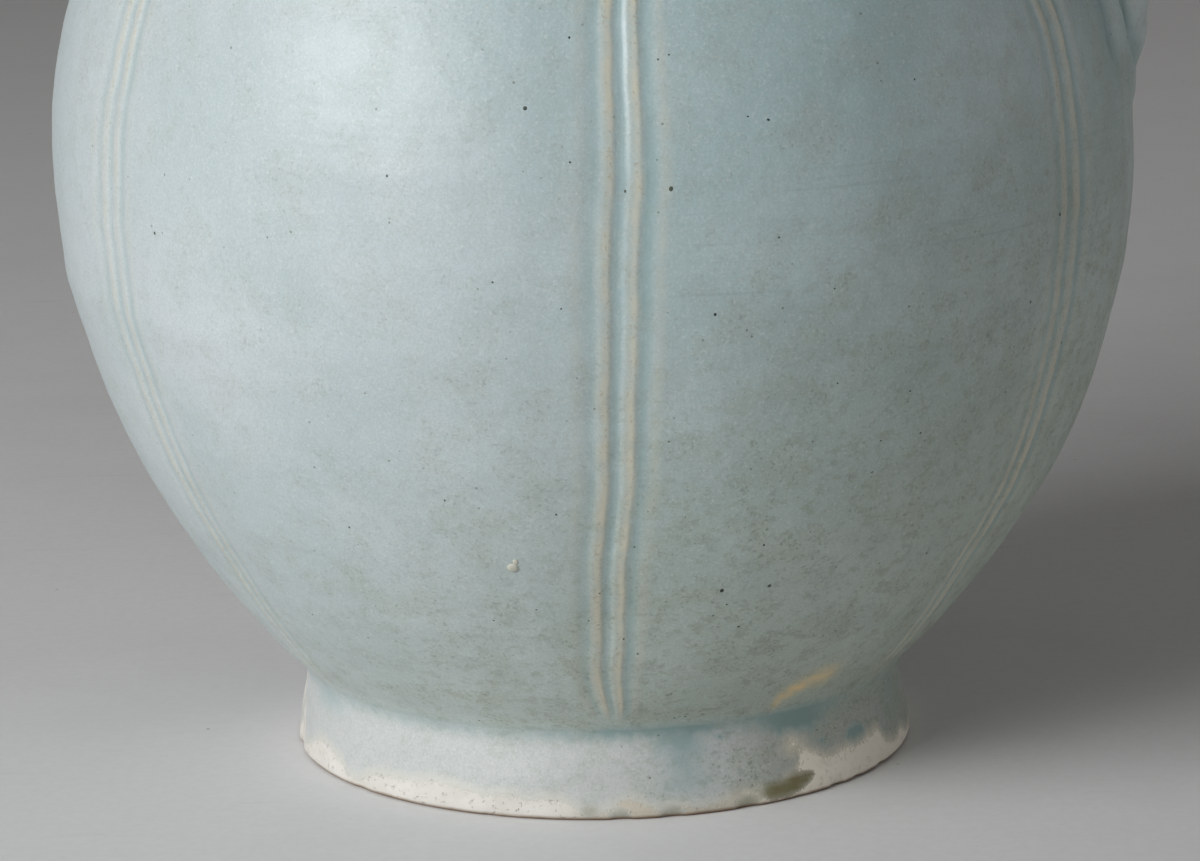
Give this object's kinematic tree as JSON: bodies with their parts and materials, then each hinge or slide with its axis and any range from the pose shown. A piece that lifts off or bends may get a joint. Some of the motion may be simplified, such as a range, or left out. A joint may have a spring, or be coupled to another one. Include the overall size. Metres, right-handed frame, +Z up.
{
  "type": "lidded ewer",
  "caption": "Melon-shaped glazed ewer on a foot ring, with double-ribbed lobes, curved spout, strap handle and a lift-off domed lid.",
  "frame": {"origin": "centre of the circle that the foot stands on", "axes": "+Z up along the turning axis, +X towards the handle, -X towards the spout"},
  "size_m": [0.184, 0.1422, 0.2174],
  "materials": {
    "body_glaze": "pale blue-green glaze, glossy with a soft sheen, deeper where it pools",
    "lid_glaze": "pale blue-green glaze",
    "foot": "pale glaze with a bare, chipped cream standing edge",
    "bare_clay": "unglazed cream clay, matt"
  },
  "bodies": {
    "vessel": {"foot_ring": "foot", "lower_body": "body_glaze", "upper_body": "body_glaze", "shoulder": "body_glaze", "neck": "body_glaze", "spout": "body_glaze", "handle_strap": "body_glaze", "handle_loop": "body_glaze"},
    "lid": {"lid_cap": "lid_glaze", "lid_flange": "bare_clay", "lid_finial": "lid_glaze", "lid_loop": "lid_glaze"}
  },
  "joints": [
    {"name": "lid_lift", "type": "slide", "parent": "vessel", "child": "lid", "axis": [0, 0, 1], "range_m": [0, 0.06]}
  ]
}
